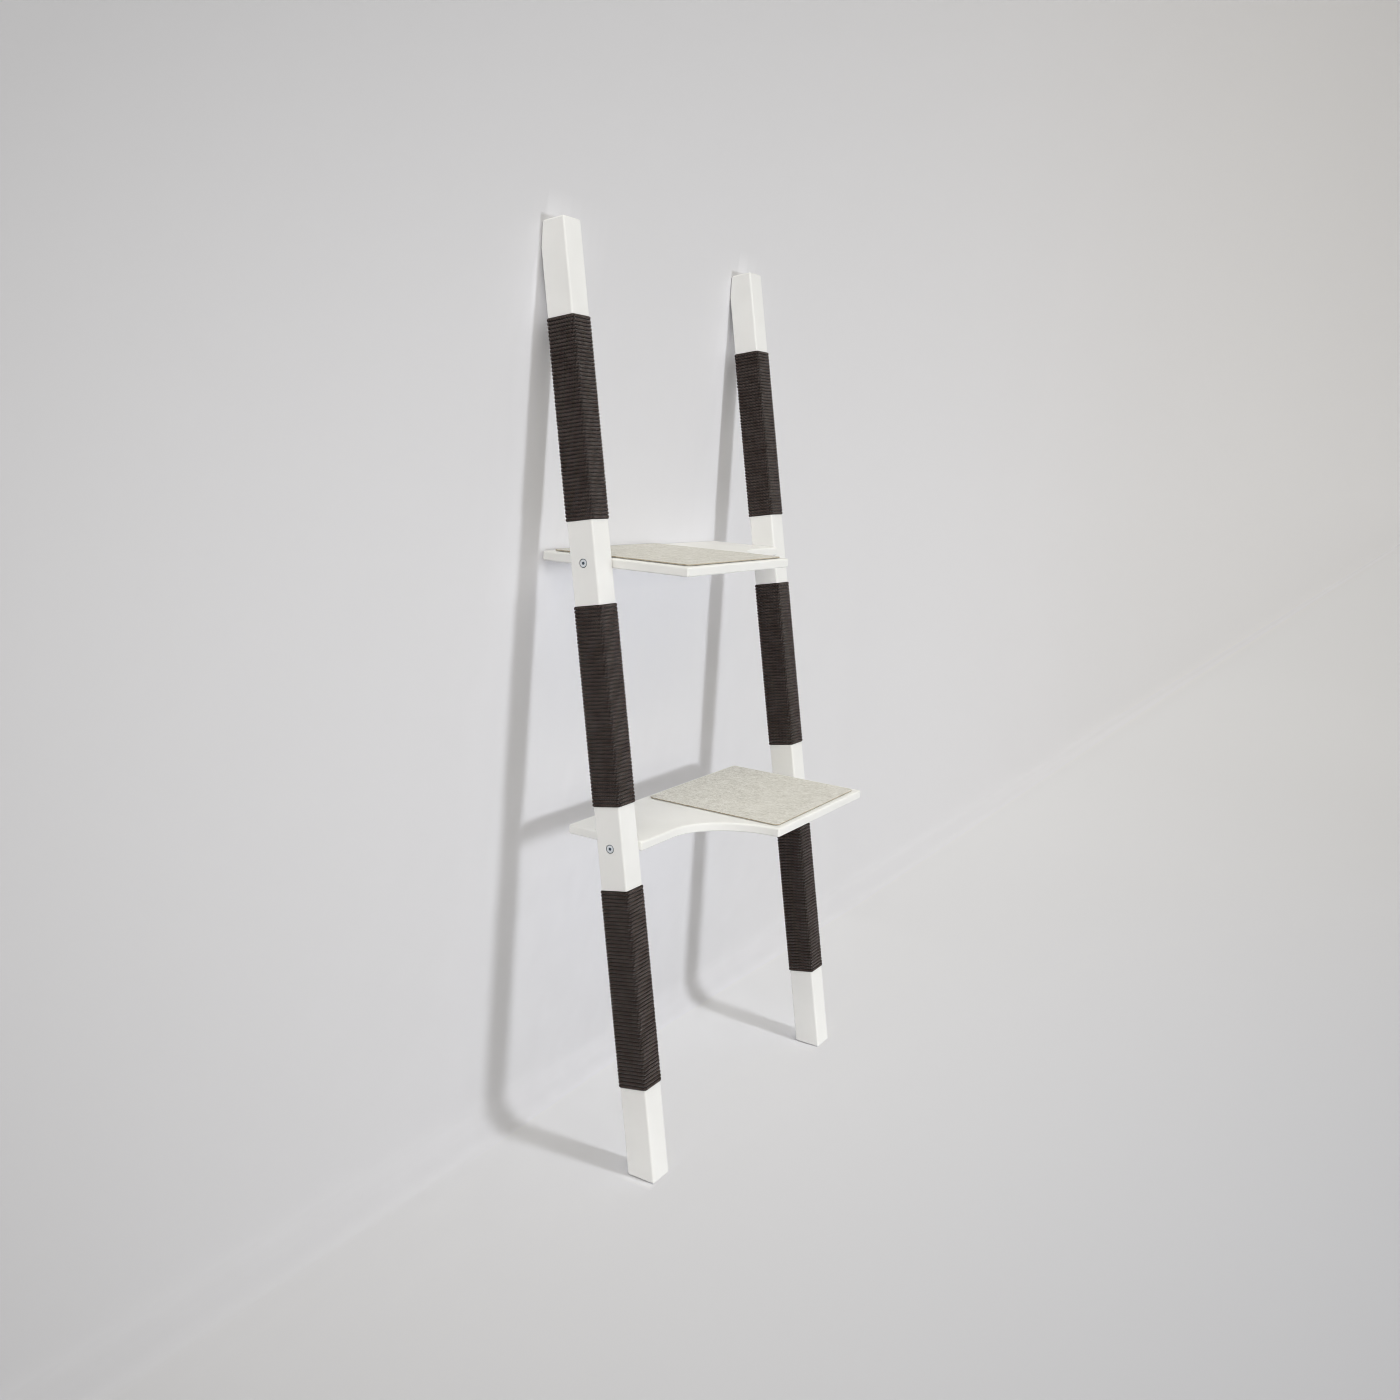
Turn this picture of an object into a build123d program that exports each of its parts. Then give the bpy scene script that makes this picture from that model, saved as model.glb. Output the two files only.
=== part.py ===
from build123d import *
from math import cos, radians, sin, tan
import os

# Cat scratching ladder that leans on a wall: two square posts with wound scratching
# stretches, two bolted shelves between them, and a felt mat on each shelf.
# Millimetres. +X runs along the wall, +Y points to the wall, +Z is up.
# The origin is on the floor, at the middle of the box round the whole object.

# Posts
post_width = 60.0
post_depth = 60.0
post_length = 1890.0
lean_angle = 10.5
clear_width = 730.0
post_edge_radius = 4.5
end_edge_bevel = 3.0
wall_face_length = 50.0

# Wound stretches of the posts: they share what the bare stretches leave
bare_end_length = 187.5
winding_gap = 165.0
windings_per_post = 3

# Rope: each modelled turn stands for a little over two real turns of it
rope_diameter = 8.0
rope_proud = 2.5
rope_turns = 24
rope_turn_gap = 0.55
rope_core_clearance = 0.2
rope_shoulder_clearance = 0.3
rope_corner_cut = 4.0
rope_section_out_shares = [-0.5, -0.5, 0.5, 0.5]
rope_section_up_shares = [-0.5, 0.5, 0.26, -0.26]

# Shelves: a deep platform at one post, a straight neck at the other, a round cove between
shelf_thickness = 19.0
platform_depth = 340.0
neck_depth = 177.0
neck_length = 122.0
shelf_behind_bolt = 139.0
shelf_corner_cut = 3.5
shelf_edge_radius = 4.0
shelf_underside_bevel = 2.5

# Mats and the hook patches under them
mat_thickness = 3.0
mat_corner_radius = 12.0
mat_post_inset = 20.0
mat_cove_inset = 13.0
mat_edge_inset = 12.0
mat_seat_clearance = 0.2
hook_side = 25.0
hook_thickness = 0.8
hook_inset = 35.0

# Shelf bolts and the square nuts in their pockets
bolt_diameter = 6.0
bolt_length = 90.0
bolt_head_diameter = 17.0
bolt_head_height = 3.0
bolt_head_sunk = 0.3
bolt_head_clearance = 0.5
bolt_hole_clearance = 0.25
bolt_tip_clearance = 2.0
socket_across_flats = 5.0
socket_depth = 2.2
nut_side = 10.0
nut_thickness = 5.0
nut_setback = 30.0
nut_clearance = 0.15
pocket_skin = 4.0
thread_clearance = 0.05

# Loose tenons beside each bolt, which stop the shelf from tipping about it
tenon_thickness = 8.0
tenon_width = 14.0
tenon_length = 40.0
tenon_in_post = 16.0
tenon_spread = 36.0
tenon_side_clearance = 0.05
tenon_end_clearance = 1.0

# Foot pads
pad_thickness = 3.0
pad_proud = 1.0
pad_inset = 5.0
pad_clearance = 0.1

# Wall hangers: keyhole plates let into the wall faces of the posts
hanger_height = 38.0
hanger_width = 20.0
hanger_thickness = 2.0
hanger_clearance = 0.15
key_entry_diameter = 9.0
key_slot_width = 4.5
key_slot_rise = 9.0
key_drop = 5.0
key_pocket_depth = 9.0
key_pocket_margin = 1.5

# One length for every cut to run past the face that it opens
overrun = 20.0

# Places worked out from the sizes
lean = radians(lean_angle)
post_x = (clear_width + post_width) / 2
bare_length = 2 * bare_end_length + (windings_per_post - 1) * winding_gap
winding_length = (post_length - bare_length) / windings_per_post
first_joint = bare_end_length + winding_length + winding_gap / 2
joint_step = winding_length + winding_gap
cove_radius = platform_depth - neck_depth
platform_width = clear_width - neck_length - cove_radius
mat_width = platform_width - mat_post_inset - mat_cove_inset
mat_depth = platform_depth - 2 * mat_edge_inset


def along_post(distance, depth):
    """World Y and Z of a point that far up the post and that deep behind its front face."""
    y = distance * sin(lean) + depth * cos(lean)
    z = distance * cos(lean) - depth * sin(lean)
    return y, z


front_y = along_post(first_joint, post_depth / 2)[0] + shelf_behind_bolt - platform_depth
wall_y = along_post(post_length - wall_face_length, post_depth)[0]
middle_y = (front_y + wall_y) / 2
wall_plane_y = wall_y - middle_y
wall_face_low_z = along_post(post_length - wall_face_length, post_depth)[1]
wall_face_top_depth = (wall_y - post_length * sin(lean)) / cos(lean)
wall_face_top_z = along_post(post_length, wall_face_top_depth)[1]
wall_face_z = (wall_face_low_z + wall_face_top_z - end_edge_bevel) / 2
foot_y = pad_proud * tan(lean) + post_depth / cos(lean) / 2 - middle_y
foot_depth = post_depth / cos(lean)
joints = []
for step in range(2):
    joint_y, joint_z = along_post(first_joint + step * joint_step, post_depth / 2)
    joints.append((joint_y - middle_y, joint_z))


def on_post(x):
    """Frame of a post: origin on its front face at the floor, Z along the post."""
    return Location((x, -middle_y, 0), (-lean_angle, 0, 0))


# Rope winding

path_half_x = post_width / 2 + rope_proud - rope_diameter / 2
path_half_y = post_depth / 2 + rope_proud - rope_diameter / 2
turn_pitch = (winding_length - 2 * rope_shoulder_clearance + rope_turn_gap) / rope_turns
turn_width = turn_pitch - rope_turn_gap
mitre = tan(radians(90 / 4))


def turn_stations():
    """Places that one turn passes, clockwise from above, each with its outward mitre."""
    stations = []
    for index, (side, back) in enumerate([(-1, 1), (-1, -1), (1, -1), (1, 1)]):
        on_front_or_back = (side * (path_half_x - rope_corner_cut), back * path_half_y, side * mitre, back)
        on_side = (side * path_half_x, back * (path_half_y - rope_corner_cut), side, back * mitre)
        pair = [on_front_or_back, on_side]
        stations += pair if index % 2 == 0 else pair[::-1]
    return stations


def rope_rings():
    """The rope's section at every station of every turn; it climbs only on the wall side."""
    rings = []
    for turn in range(rope_turns):
        level = rope_shoulder_clearance + turn_width / 2 + turn * turn_pitch
        for x, y, out_x, out_y in turn_stations():
            ring = []
            for out_share, up_share in zip(rope_section_out_shares, rope_section_up_shares):
                out = out_share * rope_diameter
                ring.append(Vector(x + out * out_x, y + out * out_y, level + up_share * turn_width))
            rings.append(ring)
    return rings


def rope_winding():
    """One unbroken rope, wound on a square core, with flat faces between its rings."""
    rings = rope_rings()
    sides = len(rope_section_out_shares)
    per_turn = len(turn_stations())
    outlines = [rings[0], rings[-1]]
    for index, (ring, following) in enumerate(zip(rings, rings[1:]), start=1):
        climbs = index % per_turn == 0
        for side in range(sides):
            other = (side + 1) % sides
            corners = [ring[side], ring[other], following[other], following[side]]
            outlines += [corners[:3], corners[2:] + corners[:1]] if climbs else [corners]
    return Solid(Shell([Face(Wire.make_polygon(outline)) for outline in outlines]))


def distance_to_run(point, start, end):
    """Distance from a point to the straight run between two others."""
    run = end - start
    share = min(1, max(0, (point - start).dot(run) / run.dot(run)))
    return (point - start - run * share).length


def least_rope_gap():
    """Least distance from points on one turn's upper edges to the next turn's lower edges."""
    samples = 24
    rings = rope_rings()
    per_turn = len(turn_stations())
    top_edges = [side for side, share in enumerate(rope_section_up_shares) if share == 0.5]
    bottom_edges = [side for side, share in enumerate(rope_section_up_shares) if share == -0.5]

    def runs(start, edges):
        turn = zip(rings[start:start + per_turn], rings[start + 1:start + per_turn + 1])
        return [(ring[edge], following[edge]) for ring, following in turn for edge in edges]

    gaps = []
    for start, end in runs(0, top_edges):
        for sample in range(samples):
            point = start + (end - start) * (sample / samples)
            gaps += [distance_to_run(point, *run) for run in runs(per_turn, bottom_edges)]
    return min(gaps)


# Posts


def winding_recess():
    """Sleeve cut out of a post for one winding; the core keeps corners cut like the rope's."""
    core_half_x = path_half_x - rope_diameter / 2 - rope_core_clearance
    core_half_y = path_half_y - rope_diameter / 2 - rope_core_clearance
    core_cut = rope_corner_cut - (path_half_x - core_half_x) * (1 - mitre)
    core = Rectangle(2 * core_half_x, 2 * core_half_y)
    core = chamfer(core.vertices(), core_cut)
    outside = Rectangle(post_width + 2 * overrun, post_depth + 2 * overrun)
    return extrude(outside - core, winding_length)


def along_x(radius, start_x, end_x, y, z):
    """Cylinder along X between two places."""
    middle = Location(((start_x + end_x) / 2, y, z), (0, 90, 0))
    return middle * Cylinder(radius, abs(end_x - start_x))


def tenons(grow, start_x, end_x, y, z):
    """The two loose tenons beside one bolt between two places along X, or their mortises."""
    middle_x = (start_x + end_x) / 2
    tenon = Box(abs(end_x - start_x), tenon_width + 2 * grow, tenon_thickness + 2 * grow)
    return [Pos(middle_x, y + side * tenon_spread / 2, z) * tenon for side in (-1, 1)]


def post_blank():
    """Right post: square bar on its lean, cut level at the foot and upright at the wall."""
    profile = Pos(0, post_depth / 2, -overrun) * Rectangle(post_width, post_depth)
    bar = on_post(post_x) * extrude(profile, post_length + overrun)
    bar = split(bar, bisect_by=Plane((0, 0, pad_proud), z_dir=(0, 0, 1)), keep=Keep.TOP)
    bar = split(bar, bisect_by=Plane((0, wall_plane_y, 0), z_dir=(0, 1, 0)), keep=Keep.BOTTOM)
    post_axis = Axis((0, 0, 0), (0, sin(lean), cos(lean)))
    long_edges = bar.edges().filter_by(post_axis) + bar.edges().filter_by(Axis.Z)
    bar = fillet(long_edges, post_edge_radius)
    foot, *others, top = bar.faces().sort_by(Axis.Z)
    return chamfer(foot.edges() + top.edges(), end_edge_bevel)


def right_post():
    """Right post with its three rope recesses, shelf joints, foot pad and hanger recesses."""
    post = post_blank()
    for index in range(windings_per_post):
        foot = bare_end_length + index * joint_step
        post -= on_post(post_x) * Pos(0, post_depth / 2, foot) * winding_recess()
    inner_x = clear_width / 2
    outer_x = inner_x + post_width
    seat_x = outer_x - bolt_head_height - bolt_head_sunk
    for y, z in joints:
        post -= along_x(bolt_diameter / 2 + bolt_hole_clearance, inner_x - overrun, outer_x, y, z)
        post -= along_x(bolt_head_diameter / 2 + bolt_head_clearance, seat_x, outer_x + overrun, y, z)
        mortise_end_x = inner_x + tenon_in_post + tenon_end_clearance
        post -= tenons(tenon_side_clearance, inner_x - overrun, mortise_end_x, y, z)
    post -= pad_shape(pad_clearance, pad_thickness + overrun, pad_thickness)
    return post - hanger_pocket()


# Foot pads


def pad_shape(grow, height, top_z):
    """Right foot pad, or its recess when grown."""
    width = post_width - 2 * pad_inset + 2 * grow
    depth = foot_depth - 2 * pad_inset + 2 * grow
    return Pos(post_x, foot_y, top_z - height) * extrude(Rectangle(width, depth), height)


# Wall hangers


def on_wall_face(x):
    """Frame on a post's wall face: X along the wall, Y up, Z out of the face to the wall."""
    return Plane((x, wall_plane_y, wall_face_z), x_dir=(-1, 0, 0), z_dir=(0, 1, 0)).location


def keyhole():
    """Keyhole outline: round entry below, slot rising from it."""
    entry = Pos(0, -key_drop) * Circle(key_entry_diameter / 2)
    slot_top = Pos(0, key_slot_rise - key_drop) * Circle(key_slot_width / 2)
    slot = Pos(0, key_slot_rise / 2 - key_drop) * Rectangle(key_slot_width, key_slot_rise)
    return entry + slot_top + slot


def hanger_plate():
    """Keyhole plate, its outer face flush with the post's wall face."""
    outline = Rectangle(hanger_width, hanger_height) - keyhole()
    return Pos(0, 0, -hanger_thickness) * extrude(outline, hanger_thickness)


def hanger_pocket():
    """Recess for the plate, with a deeper pocket for the head of the wall screw."""
    recess_depth = hanger_thickness + hanger_clearance
    outline = Rectangle(hanger_width + 2 * hanger_clearance, hanger_height + 2 * hanger_clearance)
    pocket = Pos(0, 0, -recess_depth) * extrude(outline, recess_depth + overrun)
    pocket += Pos(0, 0, -key_pocket_depth) * extrude(key_pocket_outline(), key_pocket_depth)
    return on_wall_face(post_x) * pocket


def key_pocket_outline():
    """Outline of the deep pocket: wide enough for the screw's head all the way up the slot."""
    width = key_entry_diameter + 2 * key_pocket_margin
    height = key_slot_rise + width
    return Pos(0, key_slot_rise / 2 - key_drop) * SlotOverall(height, width, rotation=90)


# Shelves


def shelf_outline():
    """Lower shelf from above, its back edge on Y zero: platform right, neck left."""
    half = clear_width / 2
    edge = Polyline(
        (neck_length - half, -neck_depth),
        (-half, -neck_depth),
        (-half, 0),
        (half, 0),
        (half, -platform_depth),
        (half - platform_width, -platform_depth),
    )
    cove = RadiusArc(edge @ 1, edge @ 0, -cove_radius)
    return make_face(edge + cove)


def lower_shelf():
    """Lower shelf in place, with its bolt holes, nut pockets and mortises."""
    y, z = joints[0]
    board = extrude(Pos(0, 0, -shelf_thickness / 2) * shelf_outline(), shelf_thickness)
    corners = [edge for edge in board.edges().filter_by(Axis.Z) if not on_cove_end(edge)]
    board = chamfer(corners, shelf_corner_cut)
    board = chamfer(board.faces().sort_by(Axis.Z)[0].edges(), shelf_underside_bevel)
    board = fillet(board.faces().sort_by(Axis.Z)[-1].edges(), shelf_edge_radius)
    board = Pos(0, y + shelf_behind_bolt, z) * board
    return board - shelf_holes(y, z)


def on_cove_end(edge):
    """True at the seam where the cove runs smoothly into the neck."""
    return abs(edge.center().X - (neck_length - clear_width / 2)) < shelf_corner_cut


def shelf_holes(y, z):
    """Holes for one shelf: at each end a bolt hole, a nut pocket and two mortises."""
    holes = []
    pocket_near = nut_setback - nut_thickness / 2 - nut_clearance
    pocket_far = bolt_length + bolt_head_height + bolt_head_sunk - post_width + bolt_tip_clearance
    pocket_top = z + shelf_thickness / 2 - pocket_skin
    pocket_height = shelf_thickness - pocket_skin + overrun
    pocket = Box(pocket_far - pocket_near, nut_side + 2 * nut_clearance, pocket_height)
    for side in (-1, 1):
        end_x = side * clear_width / 2
        out_x = end_x + side * overrun
        pocket_x = end_x - side * (pocket_near + pocket_far) / 2
        holes.append(along_x(bolt_diameter / 2 + bolt_hole_clearance, pocket_x, out_x, y, z))
        holes.append(Pos(pocket_x, y, pocket_top - pocket_height / 2) * pocket)
        mortise_depth = tenon_length - tenon_in_post + tenon_end_clearance
        holes += tenons(tenon_side_clearance, end_x - side * mortise_depth, out_x, y, z)
    return holes


# Shelf fastenings


def shelf_bolt():
    """Bolt along Z, under its head at zero, with a hexagon socket in the head."""
    head = Pos(0, 0, bolt_head_height / 2) * Cylinder(bolt_head_diameter / 2, bolt_head_height)
    shank = Pos(0, 0, -bolt_length / 2) * Cylinder(bolt_diameter / 2, bolt_length)
    socket = RegularPolygon(socket_across_flats / 2, 6, major_radius=False)
    socket = Pos(0, 0, bolt_head_height - socket_depth) * extrude(socket, socket_depth)
    return head + shank - socket


def square_nut():
    """Square nut, its hole along X."""
    nut = Box(nut_thickness, nut_side, nut_side)
    return nut - along_x(bolt_diameter / 2 + thread_clearance, -nut_thickness, nut_thickness, 0, 0)


def fastenings():
    """All four bolts, all four nuts and all eight tenons, where they sit."""
    bolts, nuts, loose_tenons = [], [], []
    for y, z in joints:
        for side in (-1, 1):
            inner_x = side * clear_width / 2
            seat_x = inner_x + side * (post_width - bolt_head_height - bolt_head_sunk)
            bolts.append(Location((seat_x, y, z), (0, side * 90, 0)) * shelf_bolt())
            nuts.append(Pos(inner_x - side * nut_setback, y, z) * square_nut())
            start_x = inner_x + side * tenon_in_post
            loose_tenons += tenons(0, start_x, start_x - side * tenon_length, y, z)
    return bolts, nuts, loose_tenons


# Mats


def mat_middle():
    """Middle of the lower mat, seen from above."""
    x = clear_width / 2 - mat_post_inset - mat_width / 2
    y = joints[0][0] + shelf_behind_bolt - platform_depth / 2
    return x, y


def lower_mat():
    """Felt mat on the lower shelf, lying on its hook patches."""
    x, y = mat_middle()
    z = joints[0][1] + shelf_thickness / 2 + hook_thickness + mat_seat_clearance
    return Pos(x, y, z) * extrude(RectangleRounded(mat_width, mat_depth, mat_corner_radius), mat_thickness)


def lower_hooks():
    """Four self-adhesive hook patches on the lower shelf, near the mat's corners."""
    x, y = mat_middle()
    z = joints[0][1] + shelf_thickness / 2
    spread_x = mat_width - 2 * hook_inset
    spread_y = mat_depth - 2 * hook_inset
    patch = Pos(0, 0, hook_thickness / 2) * Box(hook_side, hook_side, hook_thickness)
    places = GridLocations(spread_x, spread_y, 2, 2)
    return [Pos(x, y, z) * place * patch for place in places]


def to_upper(shape):
    """The upper shelf's pieces are the lower shelf's, mirrored and moved up the lean."""
    (low_y, low_z), (high_y, high_z) = joints
    return Pos(0, high_y - low_y, high_z - low_z) * mirror(shape, about=Plane.YZ)


# All nodes


def build():
    """Every node's name with its solids."""
    nodes = {}
    post = right_post()
    nodes["right_post"] = post
    nodes["left_post"] = mirror(post, about=Plane.YZ)

    winding = rope_winding()
    for side_name, x in (("left", -post_x), ("right", post_x)):
        for index, level_name in enumerate(("bottom", "middle", "top")):
            foot = bare_end_length + index * joint_step
            place = on_post(x) * Location((0, post_depth / 2, foot))
            nodes[f"{side_name}_rope_{level_name}"] = place * winding

    shelf = lower_shelf()
    nodes["lower_shelf"] = shelf
    nodes["upper_shelf"] = to_upper(shelf)

    mat = lower_mat()
    nodes["lower_mat"] = mat
    nodes["upper_mat"] = to_upper(mat)
    hooks = lower_hooks()
    nodes["lower_mat_hooks"] = Compound(children=hooks)
    nodes["upper_mat_hooks"] = Compound(children=[to_upper(hook) for hook in hooks])

    bolts, nuts, loose_tenons = fastenings()
    nodes["shelf_bolts"] = Compound(children=bolts)
    nodes["shelf_nuts"] = Compound(children=nuts)
    nodes["shelf_tenons"] = Compound(children=loose_tenons)

    pad = pad_shape(0, pad_thickness, pad_thickness)
    nodes["right_foot_pad"] = pad
    nodes["left_foot_pad"] = mirror(pad, about=Plane.YZ)

    plate = hanger_plate()
    nodes["wall_hangers"] = Compound(children=[on_wall_face(x) * plate for x in (-post_x, post_x)])
    return nodes


os.makedirs("parts", exist_ok=True)
for node, shape in build().items():
    export_step(shape, f"parts/{node}.step")
print(f"least gap between rope turns {least_rope_gap():.3f} mm")
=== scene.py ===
import math

import bpy
import numpy as np
from mathutils import Matrix, Vector, noise
from mathutils.bvhtree import BVHTree


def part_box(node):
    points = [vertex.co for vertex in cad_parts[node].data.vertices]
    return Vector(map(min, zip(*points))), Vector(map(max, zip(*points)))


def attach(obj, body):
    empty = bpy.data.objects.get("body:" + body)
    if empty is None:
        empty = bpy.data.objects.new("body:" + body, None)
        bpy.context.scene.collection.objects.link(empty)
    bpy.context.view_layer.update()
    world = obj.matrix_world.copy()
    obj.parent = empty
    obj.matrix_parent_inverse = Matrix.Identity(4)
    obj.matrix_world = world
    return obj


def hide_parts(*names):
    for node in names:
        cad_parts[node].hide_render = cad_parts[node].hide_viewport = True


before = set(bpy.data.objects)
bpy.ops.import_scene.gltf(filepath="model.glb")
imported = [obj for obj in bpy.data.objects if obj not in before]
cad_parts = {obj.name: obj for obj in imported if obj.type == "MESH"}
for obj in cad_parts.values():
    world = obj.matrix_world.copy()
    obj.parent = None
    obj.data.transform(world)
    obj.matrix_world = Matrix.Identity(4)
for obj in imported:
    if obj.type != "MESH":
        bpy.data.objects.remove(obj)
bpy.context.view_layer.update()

# The two posts: square bars of solid wood that lean on the wall.
# Planed, rounded along their edges and sprayed with a white satin lacquer,
# which leaves a smooth skin with only a breath of the grain under it.

lean = math.radians(10.5)
# Pattern sizes are in metres, some as one over the number that go into a metre.
grain_width, grain_length = 0.0016, 0.09
lacquer_cloud, lacquer_peel = 1 / 9, 1 / 700


def linear(hex_colour):
    """sRGB hex to the linear colour that a socket takes."""
    shares = [int(hex_colour[i:i + 2], 16) / 255 for i in (1, 3, 5)]
    return [s / 12.92 if s <= 0.04045 else ((s + 0.055) / 1.055) ** 2.4 for s in shares] + [1]


def add_node(tree, kind, settings=None, **inputs):
    """Adds a node: settings are its properties, inputs its sockets, as values or as outputs to link."""
    node = tree.nodes.new(kind)
    for name, value in (settings or {}).items():
        setattr(node, name, value)
    for name, value in inputs.items():
        socket = node.inputs[int(name[1:])] if name[0] == "_" else node.inputs[name.replace("_", " ")]
        if isinstance(value, bpy.types.NodeSocket):
            tree.links.new(value, socket)
        else:
            socket.default_value = value
    return node


def new_material(name):
    """An empty material with its output, ready for its shader."""
    material = bpy.data.materials.new(name)
    material.use_nodes = True
    material.node_tree.nodes.clear()
    add_node(material.node_tree, "ShaderNodeOutputMaterial")
    return material


def finish_material(material, shader):
    """Links the shader to the material's output."""
    output = material.node_tree.nodes["Material Output"]
    material.node_tree.links.new(shader.outputs[0], output.inputs["Surface"])
    return material


def ramp(tree, factor, stops):
    """A colour ramp through (place, hex colour) stops, in order."""
    node = add_node(tree, "ShaderNodeValToRGB", Fac=factor)
    elements = node.color_ramp.elements
    for element, (place, colour) in zip(elements, (stops[0], stops[-1])):
        element.position, element.color = place, linear(colour)
    for place, colour in stops[1:-1]:
        elements.new(place).color = linear(colour)
    return node.outputs["Color"]


def white_lacquer(name, turn, along, dark="#EFEFEE", light="#F4F4F3"):
    """Satin lacquer over wood: an even white, with the grain just felt as a fine relief."""
    material = new_material(name)
    tree = material.node_tree
    place = add_node(tree, "ShaderNodeTexCoord").outputs["Object"]
    turned = add_node(tree, "ShaderNodeMapping", Vector=place, Rotation=turn)
    scale = [1 / grain_width] * 3
    scale[along] = 1 / grain_length
    fine = add_node(tree, "ShaderNodeMapping", Vector=turned.outputs[0], Scale=scale)
    grain = add_node(tree, "ShaderNodeTexNoise", Vector=fine.outputs[0], Scale=1.0, Detail=3.0, Roughness=0.6)
    cloud = add_node(tree, "ShaderNodeTexNoise", Vector=place, Scale=1 / lacquer_cloud, Detail=2.0)
    skin = add_node(tree, "ShaderNodeTexNoise", Vector=place, Scale=1 / lacquer_peel, Detail=1.0)
    colour = ramp(tree, cloud.outputs["Fac"], [(0.3, dark), (0.7, light)])
    sheen = add_node(tree, "ShaderNodeMapRange", Value=grain.outputs["Fac"], To_Min=0.50, To_Max=0.62)
    wood = add_node(tree, "ShaderNodeBump", Height=grain.outputs["Fac"], Strength=0.12, Distance=0.0002)
    peel = add_node(tree, "ShaderNodeBump", Height=skin.outputs["Fac"], Normal=wood.outputs[0],
                    Strength=0.05, Distance=0.0002)
    shader = add_node(tree, "ShaderNodeBsdfPrincipled", Base_Color=colour, IOR=1.45,
                      Roughness=sheen.outputs[0], Normal=peel.outputs[0])
    return finish_material(material, shader)


def dress(node_name, material):
    """Gives a CAD node its material."""
    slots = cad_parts[node_name].data.materials
    slots.clear()
    slots.append(material)


lacquered_post = white_lacquer("lacquered post", (-lean, 0, 0), 2)
for side in ("left", "right"):
    dress(f"{side}_post", lacquered_post)

# The rope windings: one length of dark three-strand sisal rope round each recess,
# laid turn against turn and pulled tight over the corners.
# Dyed sisal is matt and hairy and brown-grey on the strands, with shade painted near black into the grooves.

post_x, post_front_y, post_depth = 0.395, -0.171997, 0.060
bare_end = 0.1875
winding_length, winding_step = 0.395, 0.560
rope_turns = 53
path_half, path_corner, corner_steps = 0.0290, 0.0028, 4
shoulder_clearance = 0.0003
climb_left_out = 0.6
rope_swell = 1.10
strands, strand_lay, rings_per_lay = 3, 0.0120, 8
groove_shares = (0.76, 0.95, 1.0, 0.95)
rope_sides = strands * len(groove_shares)
crest, crest_fade, valley_shade_depth = 0.85, 0.7, 0.34
fibre_length, fibre_width, dye_patch = 1 / 260, 1 / 1400, 1 / 38


def add_object(name, data):
    """Puts a mesh, lamp or camera into the scene."""
    thing = bpy.data.objects.new(name, data)
    bpy.context.collection.objects.link(thing)
    return thing


def turn_path():
    """Centre line of one turn seen from above, in rows of x, y, outward x, outward y."""
    straight = path_half - path_corner
    rows = []
    for side_x, side_y, start in ((-1, 1, 90), (-1, -1, 180), (1, -1, 270), (1, 1, 0)):
        for step in range(corner_steps + 1):
            angle = math.radians(start + 90 * step / corner_steps)
            x, y = math.cos(angle), math.sin(angle)
            rows.append((side_x * straight + path_corner * x, side_y * straight + path_corner * y, x, y))
    rows.append((-straight, path_half, 0, 1))
    return np.array(rows)


def winding_line():
    """The rope's line at even steps: length so far, row of the path there, turns climbed.

    It climbs on the wall side, and stops within the last climb.
    """
    path = turn_path()
    runs = np.hypot(*np.diff(path[:, :2], axis=0).T)
    length = np.concatenate([[0], np.cumsum(runs)])
    climb_start, total = length[-2:]
    rope_length = rope_turns * total - climb_left_out * (total - climb_start)
    stations = np.arange(0, rope_length, strand_lay / rings_per_lay)
    turns = np.floor(stations / total)
    within = stations - turns * total
    line = np.stack([np.interp(within, length, column) for column in path.T], axis=1)
    line[:, 2:] /= np.linalg.norm(line[:, 2:], axis=1, keepdims=True)
    climb = np.clip((within - climb_start) / (total - climb_start), 0, 1)
    return stations, line, turns + climb * climb * (3 - 2 * climb)


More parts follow.
